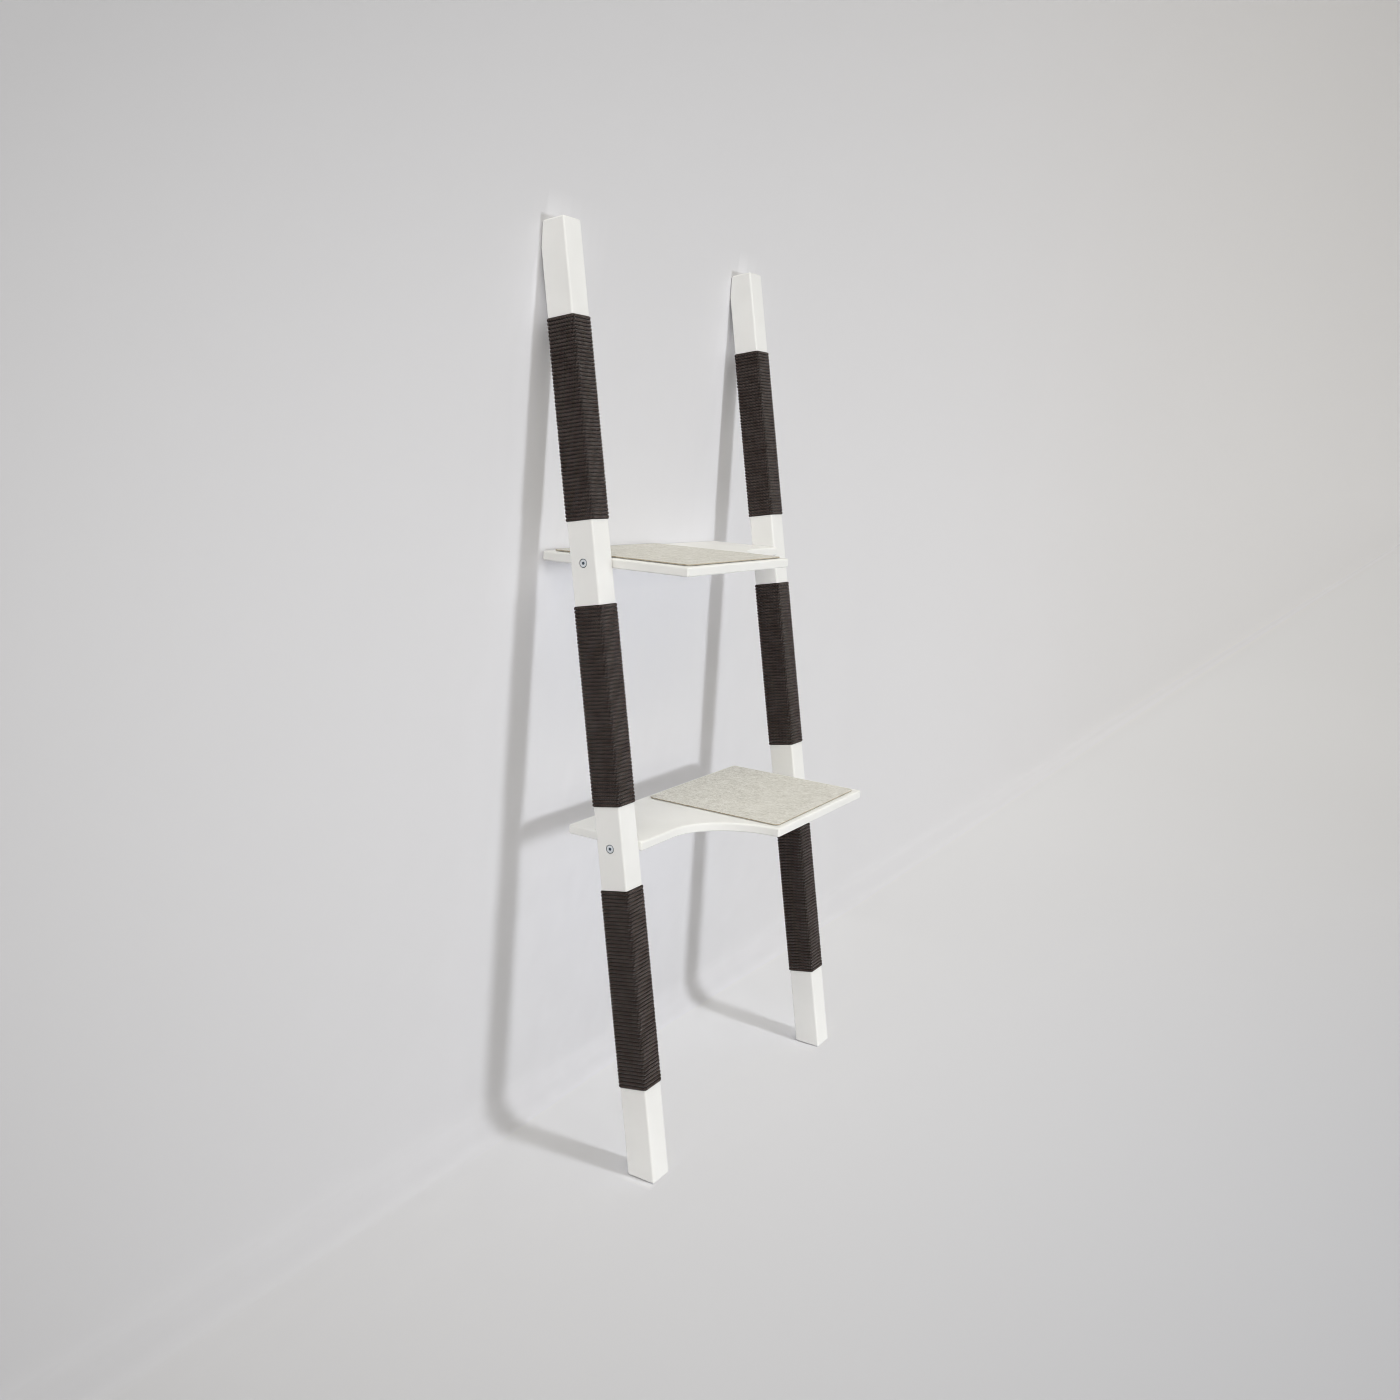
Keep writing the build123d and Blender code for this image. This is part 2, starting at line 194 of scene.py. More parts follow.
def rope_mesh(name, place):
    """One winding: a three-lobed section that twists along the centre line."""
    pitch = (winding_length - 2 * shoulder_clearance) / rope_turns
    radius = pitch / 2
    stations, line, turns = winding_line()
    around = np.arange(rope_sides) * math.tau / rope_sides
    lobes = np.tile(groove_shares, strands)
    twist = stations[:, None] / strand_lay * math.tau + around[None, :]
    out = rope_swell * radius * lobes * np.cos(twist)
    up = rope_swell * radius * lobes * np.sin(twist)
    x = line[:, 0:1] + out * line[:, 2:3]
    y = line[:, 1:2] + out * line[:, 3:4]
    z = shoulder_clearance + radius + turns[:, None] * pitch + up
    local = np.stack([x, y, z, np.ones_like(x)], axis=-1).reshape(-1, 4)
    points = (local @ np.array(place).T)[:, :3]
    rings = len(stations)
    first = np.arange(rings - 1)[:, None] * rope_sides
    a = first + np.arange(rope_sides)[None, :]
    b = first + (np.arange(rope_sides)[None, :] + 1) % rope_sides
    quads = np.stack([a, b, b + rope_sides, a + rope_sides], axis=-1).reshape(-1, 4)
    cut_ends = [tuple(range(rope_sides))[::-1], tuple(range((rings - 1) * rope_sides, rings * rope_sides))]
    mesh = bpy.data.meshes.new(name)
    mesh.from_pydata(points.tolist(), [], [cut_ends[0]] + quads.tolist() + [cut_ends[1]])
    mesh.shade_smooth()
    fibre_place = mesh.attributes.new("fibre_place", "FLOAT_VECTOR", "POINT")
    angle = np.broadcast_to(around, twist.shape)
    along = np.broadcast_to(stations[:, None], twist.shape)
    coords = np.stack([along, radius * np.cos(angle), radius * np.sin(angle)], axis=-1)
    fibre_place.data.foreach_set("vector", coords.reshape(-1).astype(np.float32))
    # Painted shade: this darkens the colour on the inner lobes and in the valleys between strands.
    painted_groove_shade = mesh.attributes.new("painted_groove_shade", "FLOAT", "POINT")
    valley = np.clip((crest - np.cos(twist)) / crest_fade, 0, 1)
    painted_groove_shade.data.foreach_set("value", (lobes - valley_shade_depth * valley).reshape(-1).astype(np.float32))
    return mesh


def dyed_sisal():
    """Dark sisal: fibres a fifth of a millimetre wide, drawn at 0.7 mm to show; painted shade in the grooves.
    """
    material = new_material("dyed sisal rope")
    tree = material.node_tree
    place = add_node(tree, "ShaderNodeAttribute", {"attribute_name": "fibre_place"}).outputs["Vector"]
    stretch = (1 / fibre_length, 1 / fibre_width, 1 / fibre_width)
    drawn = add_node(tree, "ShaderNodeMapping", Vector=place, Scale=stretch)
    fibre = add_node(tree, "ShaderNodeTexNoise", Vector=drawn.outputs[0], Scale=1.0,
                     Detail=3.0, Roughness=0.65)
    world_place = add_node(tree, "ShaderNodeTexCoord").outputs["Object"]
    patch = add_node(tree, "ShaderNodeTexNoise", Vector=world_place, Scale=1 / dye_patch, Detail=2.0)
    # Painted shade: the colour goes darker toward the grooves between strands.
    strand = add_node(tree, "ShaderNodeAttribute", {"attribute_name": "painted_groove_shade"}).outputs["Fac"]
    lit = add_node(tree, "ShaderNodeMapRange", Value=strand, From_Min=0.50, From_Max=1.0,
                   To_Min=-0.47, To_Max=0.21)
    shade = add_node(tree, "ShaderNodeMath", {"operation": "ADD"}, _0=fibre.outputs["Fac"], _1=lit.outputs[0])
    colour = ramp(tree, shade.outputs[0], [(0.22, "#0E0B0A"), (0.50, "#312A28"), (0.80, "#6A5D5A")])
    tint = ramp(tree, patch.outputs["Fac"], [(0.35, "#D8CFCB"), (0.65, "#FFFFFF")])
    mixed = add_node(tree, "ShaderNodeMix", {"data_type": "RGBA", "blend_type": "MULTIPLY"},
                     _0=1.0, _6=colour, _7=tint)
    relief = add_node(tree, "ShaderNodeBump", Height=fibre.outputs["Fac"], Strength=0.7, Distance=0.0006)
    shader = add_node(tree, "ShaderNodeBsdfPrincipled", Base_Color=mixed.outputs[2], Roughness=0.8,
                      IOR=1.45, Specular_IOR_Level=0.15, Sheen_Weight=0.9, Sheen_Roughness=0.3,
                      Normal=relief.outputs[0])
    return finish_material(material, shader)


sisal = dyed_sisal()
for side, x in (("left", -post_x), ("right", post_x)):
    for index, level_name in enumerate(("bottom", "middle", "top")):
        foot = bare_end + index * winding_step
        post_place = Matrix.Translation((x, post_front_y, 0)) @ Matrix.Rotation(-lean, 4, "X")
        place = post_place @ Matrix.Translation((0, post_depth / 2, foot))
        piece_name = f"{side}_{level_name}_wound_rope"
        winding = add_object(piece_name, rope_mesh(piece_name, place))
        winding.data.materials.append(sisal)
        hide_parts(f"{side}_rope_{level_name}")
        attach(winding, "ladder")

# The foot pads: squares of grey rubber let into the foot of each post.
# Moulded rubber is matt and dusty, with a fine even grain.

mould_grain, dust_patch = 1 / 1100, 1 / 120


def foot_rubber():
    """Grey rubber with the grain of its mould and a little dust."""
    material = new_material("moulded rubber")
    tree = material.node_tree
    place = add_node(tree, "ShaderNodeTexCoord").outputs["Object"]
    grit = add_node(tree, "ShaderNodeTexNoise", Vector=place, Scale=1 / mould_grain, Detail=2.0)
    dust = add_node(tree, "ShaderNodeTexNoise", Vector=place, Scale=1 / dust_patch, Detail=3.0)
    colour = ramp(tree, dust.outputs["Fac"], [(0.35, "#2E2E2E"), (0.75, "#4B4A48")])
    relief = add_node(tree, "ShaderNodeBump", Height=grit.outputs["Fac"], Strength=0.5, Distance=0.0003)
    shader = add_node(tree, "ShaderNodeBsdfPrincipled", Base_Color=colour, Roughness=0.85, IOR=1.5,
                      Normal=relief.outputs[0])
    return finish_material(material, shader)


rubber = foot_rubber()
for side in ("left", "right"):
    dress(f"{side}_foot_pad", rubber)

# The two shelves: one board shape, turned over for the upper one.
# Sawn with a round cove beside the narrow end, rounded over along the top edge,
# and sprayed in the same white as the posts, its grain running from post to post.
# Here that white is painted a little lighter than the posts', as painted light on its top.

# Painted light: a touch whiter than the posts, for the light that falls on the shelf tops.
shelf_lacquer_painted_lighter = white_lacquer("lacquered shelf, painted lighter", (0, 0, 0), 0, "#F1F1EF", "#F6F6F4")
for level_name in ("upper", "lower"):
    dress(f"{level_name}_shelf", shelf_lacquer_painted_lighter)

# The loose tenons: small flat bars of beech, glued into the shelf beside each bolt.
# Planed beech is pinkish brown, with short dark flecks along the grain.

beech_fleck_width, beech_fleck_length = 0.0006, 0.004


def planed_beech():
    """Bare beech: a warm even brown with its short flecks, matt from the planer."""
    material = new_material("planed beech")
    tree = material.node_tree
    place = add_node(tree, "ShaderNodeTexCoord").outputs["Object"]
    scale = (1 / beech_fleck_length, 1 / beech_fleck_width, 1 / beech_fleck_width)
    along = add_node(tree, "ShaderNodeMapping", Vector=place, Scale=scale)
    flecks = add_node(tree, "ShaderNodeTexNoise", Vector=along.outputs[0], Scale=1.0, Detail=3.0)
    colour = ramp(tree, flecks.outputs["Fac"], [(0.35, "#A9794F"), (0.6, "#D9B48A")])
    relief = add_node(tree, "ShaderNodeBump", Height=flecks.outputs["Fac"], Strength=0.3, Distance=0.0002)
    shader = add_node(tree, "ShaderNodeBsdfPrincipled", Base_Color=colour, Roughness=0.7, IOR=1.5,
                      Normal=relief.outputs[0])
    return finish_material(material, shader)


dress("shelf_tenons", planed_beech())

# The shelf bolts and their nuts: flat-headed furniture bolts with a hexagon socket.
# Cold-formed steel, bright zinc plated: smooth and light, with the edge of the head
# broken by a small bevel; shade is painted dark into the socket and onto that bevelled rim.

bolt_seat_x = 0.4217
bolt_sides = 48
bolt_tip, socket_floor = -0.0900, 0.0004
# Height over the seat and radius, from the tip over the head to the mouth of the socket.
bolt_outline = (
    (bolt_tip, 0.0021), (-0.0892, 0.0029), (-0.0890, 0.0030), (-0.0003, 0.0030), (0.0, 0.0033),
    (0.0, 0.0081), (0.00015, 0.0084), (0.0004, 0.0085), (0.0021, 0.0085), (0.0024, 0.0083),
    (0.0027, 0.0077), (0.00295, 0.0072), (0.0030, 0.0070), (0.0030, 0.0037), (0.00295, 0.0035),
)
socket_flats = 0.0045
# Height over the seat, and how much wider than the hexagon the socket is there.
socket_rings = ((0.0026, 0.0002), (0.0024, 0.0), (0.0009, 0.0), (0.0008, -0.0002))
# Painted shade: below this height, the socket within one reach and the rim beyond the other are dark.
painted_shade_top, shaded_socket_reach, shaded_rim_reach = 0.0028, 0.0035, 0.0073
zinc_cloud = 1 / 320
bolt_scuff = (1 / 900, 1 / 2600, 1 / 900)
crease = math.radians(35)


def hexagon_reach(angle, flats):
    """Distance from a hexagon's centre to its side in that direction."""
    off = (angle + math.pi / 6) % (math.pi / 3) - math.pi / 6
    return flats / 2 / math.cos(off)


def turn_angles(sides):
    """Even directions round a turned piece."""
    return [math.tau * i / sides for i in range(sides)]


def join_rings(points, faces, rings, place):
    """Adds (height, reach at each angle) rings to the lists, joined by quads.

    Gives the places of the first and the last ring in the list of points.
    """
    start, sides = len(points), len(rings[0][1])
    for height, reaches in rings:
        for angle, reach in zip(turn_angles(sides), reaches):
            points.append(place @ Vector((reach * math.cos(angle), reach * math.sin(angle), height)))
    for ring in range(len(rings) - 1):
        a = start + ring * sides
        for i in range(sides):
            j = (i + 1) % sides
            faces.append((a + i, a + j, a + sides + j, a + sides + i))
    return start, start + (len(rings) - 1) * sides


def ring_is_shaded(height, reach):
    """1 in the socket and on the bevelled rim of the head, where shade is painted dark."""
    return 1.0 if 0 < height < painted_shade_top and (reach < shaded_socket_reach or reach > shaded_rim_reach) else 0.0


def bolt_geometry(points, faces, painted_shade_values, place):
    """Adds one bolt to the lists: its rings, a closed tip and a coned socket floor."""
    rings = [(height, [reach] * bolt_sides) for height, reach in bolt_outline]
    for height, grow in socket_rings:
        reaches = [hexagon_reach(angle, socket_flats) + grow for angle in turn_angles(bolt_sides)]
        rings.append((height, reaches))
    first, last = join_rings(points, faces, rings, place)
    for height, reaches in rings:
        painted_shade_values += [ring_is_shaded(height, reaches[0])] * bolt_sides
    tip = len(points)
    points += [place @ Vector((0, 0, bolt_tip)), place @ Vector((0, 0, socket_floor))]
    # Painted shade on the socket floor, none on the tip.
    painted_shade_values += [0.0, 1.0]
    for i in range(bolt_sides):
        j = (i + 1) % bolt_sides
        faces += [(first + j, first + i, tip), (last + i, last + j, tip + 1)]


def bright_zinc(name, scuff_size, shade_from=None):
    """Bright zinc plate: a cool light metal with a fine cloud in its shine and hairline scuffs, and painted
    shade where an attribute says.
    """
    material = new_material(name)
    tree = material.node_tree
    place = add_node(tree, "ShaderNodeTexCoord").outputs["Object"]
    cloud = add_node(tree, "ShaderNodeTexNoise", Vector=place, Scale=1 / zinc_cloud, Detail=3.0)
    long_way = add_node(tree, "ShaderNodeMapping", Vector=place, Scale=[1 / size for size in scuff_size])
    scuff = add_node(tree, "ShaderNodeTexNoise", Vector=long_way.outputs[0], Scale=1.0, Detail=2.0)
    colour = ramp(tree, cloud.outputs["Fac"], [(0.3, "#DDE3E8"), (0.7, "#F0F3F5")])
    if shade_from:
        # Painted shade: the colour turns dark grey-blue where the attribute is 1.
        socket_rim_shade = add_node(tree, "ShaderNodeAttribute", {"attribute_name": shade_from}).outputs["Fac"]
        mixed = add_node(tree, "ShaderNodeMix", {"data_type": "RGBA"},
                         _0=socket_rim_shade, _6=colour, _7=linear("#5A6873"))
        colour = mixed.outputs[2]
    shine = add_node(tree, "ShaderNodeMapRange", Value=cloud.outputs["Fac"], To_Min=0.30, To_Max=0.45)
    relief = add_node(tree, "ShaderNodeBump", Height=scuff.outputs["Fac"], Strength=0.12, Distance=0.0001)
    shader = add_node(tree, "ShaderNodeBsdfPrincipled", Base_Color=colour, Metallic=1.0,
                      Roughness=shine.outputs[0], Normal=relief.outputs[0])
    return finish_material(material, shader)


zinc = bright_zinc("bright zinc plate", bolt_scuff)
dress("shelf_nuts", zinc)
points, faces, painted_shade_values = [], [], []
for level_name in ("lower", "upper"):
    low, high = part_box(f"{level_name}_shelf")
    z = (low[2] + high[2]) / 2
    y = post_front_y + z * math.tan(lean) + post_depth / 2 / math.cos(lean)
    for side in (-1, 1):
        turn = Matrix.Rotation(side * math.pi / 2, 4, "Y")
        bolt_geometry(points, faces, painted_shade_values, Matrix.Translation((side * bolt_seat_x, y, z)) @ turn)
mesh = bpy.data.meshes.new("socket_bolts")
mesh.from_pydata(points, [], faces)
mesh.shade_smooth()
# Painted shade in each socket and on each head's bevelled rim.
mesh.attributes.new("socket_rim_shade", "FLOAT", "POINT").data.foreach_set("value", painted_shade_values)
mesh.materials.append(bright_zinc("bright zinc plate, painted shade in socket and rim", bolt_scuff, "socket_rim_shade"))
mesh.set_sharp_from_angle(angle=crease)
bolts = add_object("socket_bolts", mesh)
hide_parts("shelf_bolts")
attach(bolts, "ladder")

# The hook patches: self-adhesive nylon hook tape, four squares under each mat.
# Moulded hooks stand in rows a millimetre and a half apart, semi-matt and slightly milky.

hook_pitch = 0.0015


def nylon_hook_tape():
    """Milky nylon with the rows of its hooks as a relief, and shade painted darker between the hooks."""
    material = new_material("nylon hook tape")
    tree = material.node_tree
    place = add_node(tree, "ShaderNodeTexCoord").outputs["Object"]
    rows = add_node(tree, "ShaderNodeTexVoronoi", Vector=place, Scale=1 / hook_pitch, Randomness=0.15)
    # Painted shade: darker between the hooks, lighter on them.
    colour = ramp(tree, rows.outputs["Distance"], [(0.1, "#F0F0EC"), (0.6, "#BDBCB5")])
    hooks = add_node(tree, "ShaderNodeBump", {"invert": True}, Height=rows.outputs["Distance"],
                     Strength=1.0, Distance=0.0006)
    shader = add_node(tree, "ShaderNodeBsdfPrincipled", Base_Color=colour, Roughness=0.45, IOR=1.53,
                      Normal=hooks.outputs[0])
    return finish_material(material, shader)


hook_tape = nylon_hook_tape()
for level_name in ("upper", "lower"):
    dress(f"{level_name}_mat_hooks", hook_tape)

# The felt mats: pieces of pressed wool felt, 3 mm thick with round-cut corners.
# The wool is undyed in several shades, so the face is mottled, and the knife
# leaves a crisp edge that hair softens; that rim is painted darker brown as shade.

mat_corner = 0.012
felt_edge_steps = (0.0, 0.00012, 0.0004, 0.0008, 0.0015)
felt_grid_step = 0.003
felt_sink, under_face_shift = 0.00015, 0.02
edge_fall, edge_fall_width = 0.00045, 0.0008
even_rim = 0.002
# Lumps to the metre, and their height.
wool_lumps = ((210, 0.00010), (24, 0.00008))
wool_wander, wool_cloud, wool_mottle, wool_fleck, wool_hair = 1 / 90, 1 / 55, 1 / 190, 1 / 420, 1 / 1500


def edged_steps(half):
    """Places from one edge to the other: fine at the edges, even between them."""
    inner = half - felt_edge_steps[-1]
    count = math.ceil(2 * inner / felt_grid_step)
    even = np.linspace(-inner, inner, count + 1)[1:-1]
    near = half - np.array(felt_edge_steps)
    return np.concatenate([-near, even, near[::-1]])


def draw_in(x, y, half_x, half_y):
    """Place of a grid point once the corners are cut round, and its distance from the rim."""
    straight_x, straight_y = half_x - mat_corner, half_y - mat_corner
    over_x, over_y = abs(x) - straight_x, abs(y) - straight_y
    if over_x <= 0 or over_y <= 0:
        return x, y, min(half_x - abs(x), half_y - abs(y))
    reach = max(over_x, over_y)
    share = reach / math.hypot(over_x, over_y)
    x, y = math.copysign(straight_x + over_x * share, x), math.copysign(straight_y + over_y * share, y)
    return x, y, mat_corner - reach


def felt_mesh(name, low, high):
    """A mat of cut felt: two faces with a soft fall at the rim, and a wall between them."""
    half_x, half_y = (high.x - low.x) / 2, (high.y - low.y) / 2
    middle = (low + high) / 2
    xs, ys = edged_steps(half_x), edged_steps(half_y)
    points, faces = [], []
    for outward, face_z in ((1, high.z - felt_sink), (-1, low.z + felt_sink)):
        for grid_x in xs:
            for grid_y in ys:
                x, y, rim = draw_in(grid_x, grid_y, half_x, half_y)
                spot = Vector((x, y, outward * under_face_shift + middle.z))
                wool = sum(noise.noise(spot * scale) * height for scale, height in wool_lumps)
                fall = edge_fall * max(0, 1 - rim / edge_fall_width) ** 2
                z = face_z + outward * (wool * min(1, rim / even_rim) - fall)
                points.append((middle.x + x, middle.y + y, z))
    rows, columns = len(xs), len(ys)
    under = rows * columns
    for i in range(rows - 1):
        for j in range(columns - 1):
            a = i * columns + j
            quad = (a, a + columns, a + columns + 1, a + 1)
            faces += [quad, tuple(under + corner for corner in reversed(quad))]
    rim_loop = [i * columns for i in range(rows)]
    rim_loop += [(rows - 1) * columns + j for j in range(1, columns)]
    rim_loop += [i * columns + columns - 1 for i in range(rows - 2, -1, -1)]
    rim_loop += [j for j in range(columns - 2, 0, -1)]
    for a, b in zip(rim_loop, rim_loop[1:] + rim_loop[:1]):
        faces.append((b, a, under + a, under + b))
    mesh = bpy.data.meshes.new(name)
    mesh.from_pydata(points, [], faces)
    mesh.shade_smooth()
    # The rim's wall takes the second material, painted darker as the shade along the mat's edge.
    for face in mesh.polygons[-len(rim_loop):]:
        face.material_index = 1
    return mesh


def wool_felt(name, dark_wool, mid_wool, light_wool):
    """Undyed wool pressed flat: matt, mottled at about 5 mm, with single hairs a little darker."""
    material = new_material(name)
    tree = material.node_tree
    place = add_node(tree, "ShaderNodeTexCoord").outputs["Object"]
    wander = add_node(tree, "ShaderNodeTexNoise", Vector=place, Scale=1 / wool_wander, Detail=2.0)
    bent = add_node(tree, "ShaderNodeMix", {"data_type": "VECTOR"},
                    _0=0.008, _4=place, _5=wander.outputs["Color"]).outputs[1]
    cloud = add_node(tree, "ShaderNodeTexNoise", Vector=place, Scale=1 / wool_cloud, Detail=2.0)
    mottle = add_node(tree, "ShaderNodeTexNoise", Vector=bent, Scale=1 / wool_mottle,
                      Detail=5.0, Roughness=0.7)
    flecks = add_node(tree, "ShaderNodeTexNoise", Vector=bent, Scale=1 / wool_fleck,
                      Detail=3.0, Roughness=0.7)
    hair = add_node(tree, "ShaderNodeTexNoise", Vector=place, Scale=1 / wool_hair, Detail=2.0)
    both = add_node(tree, "ShaderNodeMath", {"operation": "MULTIPLY_ADD"},
                    _0=cloud.outputs["Fac"], _1=0.35, _2=mottle.outputs["Fac"])
    base = ramp(tree, both.outputs[0], [(0.46, dark_wool), (0.67, mid_wool), (0.90, light_wool)])
    dark = ramp(tree, flecks.outputs["Fac"], [(0.34, "#9C9686"), (0.47, "#FFFFFF")])
    colour = add_node(tree, "ShaderNodeMix", {"data_type": "RGBA", "blend_type": "MULTIPLY"},
                      _0=0.6, _6=base, _7=dark)
    lay = add_node(tree, "ShaderNodeBump", Height=mottle.outputs["Fac"], Strength=0.5, Distance=0.0004)
    nap = add_node(tree, "ShaderNodeBump", Height=hair.outputs["Fac"], Normal=lay.outputs[0],
                   Strength=0.4, Distance=0.0003)
    shader = add_node(tree, "ShaderNodeBsdfPrincipled", Base_Color=colour.outputs[2], Roughness=0.95, IOR=1.4,
                      Sheen_Weight=0.3, Sheen_Roughness=0.6, Normal=nap.outputs[0])
    return finish_material(material, shader)


felt = wool_felt("pressed wool felt", "#BDBAAF", "#DBD9D0", "#EFEEE8")
# Painted shade: the rim is a darker brown than the face.
felt_rim_shade = wool_felt("wool felt rim, painted shade", "#90846F", "#B5A994", "#D0C7B5")
for level_name in ("upper", "lower"):
    low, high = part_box(f"{level_name}_mat")
    piece_name = f"{level_name}_felt_mat"
    mat = add_object(piece_name, felt_mesh(piece_name, Vector(low), Vector(high)))
    mat.data.materials.append(felt)
    mat.data.materials.append(felt_rim_shade)
    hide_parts(f"{level_name}_mat")
    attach(mat, f"{level_name}_mat")

# The wall hangers: stamped keyhole plates, each held by two countersunk screws.
# Zinc-plated sheet steel, brushed along its length by the rolling mill,
# and cross-headed screws in the same finish.

sheet_scuff = (1 / 2400, 1 / 2400, 1 / 160)
screw_offset, screw_turn = 0.0145, 0.4
screw_head_radius, screw_sides = 0.0029, 32
# Height over the plate and radius, from the countersink to the crown.
screw_outline = (
    (-0.0012, 0.0017), (-0.0001, screw_head_radius), (0.0, screw_head_radius - 0.0001), (0.0001, 0.0020),
)
cross_arm, cross_half_width = 0.0014, 0.00042


def cross_reach(angle):
    """Distance from the middle of a cross recess to its wall in that direction."""
    wide, narrow = sorted((abs(math.cos(angle)), abs(math.sin(angle))), reverse=True)
    return min(cross_arm / wide, cross_half_width / max(narrow, 1e-6))


def screw_geometry(points, faces, place):
    """Adds one countersunk head to the lists: a low crown with a cross recess."""
    cross = [cross_reach(angle) for angle in turn_angles(screw_sides)]
    rings = [(height, [reach] * screw_sides) for height, reach in screw_outline]
    rings.append((0.0001, [reach + 0.0001 for reach in cross]))
    rings.append((-0.0001, cross))
    rings.append((-0.0009, [0.6 * reach for reach in cross]))
    first, last = join_rings(points, faces, rings, place)
    faces.append(tuple(range(first, first + screw_sides))[::-1])
    faces.append(tuple(range(last, last + screw_sides)))


dress("wall_hangers", bright_zinc("rolled zinc sheet", sheet_scuff))
points, faces = [], []
plate_low, plate_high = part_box("wall_hangers")
wall_y = plate_high[1]
for x in (-post_x, post_x):
    for side in (-1, 1):
        z = (plate_low[2] + plate_high[2]) / 2 + side * screw_offset
        tilt = Matrix.Rotation(screw_turn * side + x, 4, "Z")
        into_wall = Matrix.Rotation(-math.pi / 2, 4, "X") @ tilt
        screw_geometry(points, faces, Matrix.Translation((x, wall_y, z)) @ into_wall)
mesh = bpy.data.meshes.new("hanger_screws")
mesh.from_pydata(points, [], faces)
mesh.shade_smooth()
mesh.set_sharp_from_angle(angle=crease)
mesh.materials.append(zinc)
screws = add_object("hanger_screws", mesh)
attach(screws, "ladder")

# The room: one seamless pale backdrop, a wall that rounds into the floor, not part of the ladder.
# Its paint is lighter away from the lamp and where the ladder keeps soft light off it, so that
# it looks even but for the front lamp's shadow. From behind or below it is seen through.

camera_place = Vector((-2.6197, -1.36405, 1.43474))
camera_right = Vector((0.53114081, -0.84495597, 0.06276025))
camera_up = Vector((0.08178557, 0.12485489, 0.98879845))
camera_behind = Vector((-0.84332708, -0.52005833, 0.13542073))
lens, sensor, shift_x, shift_y = 34.987, 36.0, 0.05773, -0.05086
# Name, place, aim, size, distance from the ladder, level there, colour.
lamps = (
    ("front lamp", Vector((0, -4.6, 1.35)), Vector((0, 0, 0.95)), 0.65, 4.6, 0.36, (0.98, 1.0, 1.02)),
    ("high lamp", Vector((-2.0, -0.4, 3.0)), Vector((-0.2, 0, 1.0)), 1.0, 2.06, 0.15, (1.0, 0.99, 0.96)),
)
lamp_rings, lamp_ring_spots = (0.35, 0.85), 8
sky_above, sky_left = 1.72, 0.85
backdrop_glow, lacquer_glow, rope_glow = 0.66, 0.42, 0.04
direction_count = 600
ray_lift, ray_reach = 0.002, 3.0
near_half_width, near_front, near_height = 1.3, -1.2, 2.4
least_open = 0.58
room_size, room_rows, room_columns, crowding = 60.0, 64, 70, 6
wall_gap = 0.0006
sweep_radius, sweep_steps = 0.06, 12
# How much more light each row of the bend gets than its slope says, from floor to wall,
# and how much more the foot of the wall gets, up to the height where that ends.
sweep_shares = (1.042, 1.062, 1.08, 1.095, 1.10, 1.09, 1.06, 1.02, 0.995, 0.99, 0.997, 1.015, 1.035)
low_wall_share, low_wall_top = 1.035, 1.2
shading_lift = math.radians(30)
wall_level, floor_level, whitest_paint = 0.67, 0.80, 0.95
blue_share, glow_share = 1.045, 0.6
edge_darkening, widest_cosine = 0.67, 0.8
# Place along the wall, and how much brighter wall and floor are painted there.
wall_evening = ((0.3, 1.0), (2.2, 1.02), (5.0, 1.016), (14.0, 1.008))
floor_evening = ((-1.2, 0.992), (0.2, 1.018), (2.8, 1.027), (4.6, 0.985), (9.5, 0.940), (14.0, 0.932))
# The same for the bend, which gets it between two places far to the right.
far_bend_lift, far_bend_start, far_bend_full = 0.06, 2.0, 5.5


def spread(count):
    """Places from 0 to the edge of the room, close together near the ladder."""
    return [room_size * math.sinh(crowding * i / count) / math.sinh(crowding) for i in range(count + 1)]


def sweep_slope(step):
    """Slope of the backdrop at a row of its bend: level at the first, upright at the last."""
    return math.pi / 2 * step / sweep_steps


def facing(slope):
    """The way that the backdrop faces where it has that slope."""
    return Vector((0, -math.sin(slope), math.cos(slope)))


shading_way = facing(math.pi / 2 - shading_lift)


def soft_share(share):
    """Share of light on a face whose shading leans away from its real slope."""
    share = np.clip(share, 0, 1)
    return share * (1 + share - share * share)


def all_ways():
    """Even directions all round, and the level of the light that comes from each."""
    index = np.arange(direction_count) + 0.5
    z = 1 - 2 * index / direction_count
    turn = index * math.pi * (1 + math.sqrt(5))
    flat = np.sqrt(1 - z * z)
    ways = np.stack([flat * np.cos(turn), flat * np.sin(turn), z], axis=1)
    sky = sky_above * np.maximum(z, 0) ** 2 + sky_left * np.maximum(-ways[:, 0], 0)
    return ways, np.where((z < 0) | (ways[:, 1] > 0), backdrop_glow, sky)


def way_weights(step):
    """How much light from each direction counts on that row of the bend."""
    real_way = facing(sweep_slope(step))
    real, leaning = ways @ np.array(real_way), ways @ np.array(shading_way)
    share = soft_share(real / np.maximum(leaning * real_way.dot(shading_way), 1e-6))
    return np.where((leaning > 0) & (real > 0), leaning * share, 0) * 4 / direction_count


def blocking_tree(names):
    """The faces of those CAD nodes, ready for rays."""
    points, faces = [], []
    for name in names:
        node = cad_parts[name]
        start = len(points)
        points += [node.matrix_world @ vertex.co for vertex in node.data.vertices]
        faces += [[start + i for i in face.vertices] for face in node.data.polygons]
    return BVHTree.FromPolygons(points, faces)


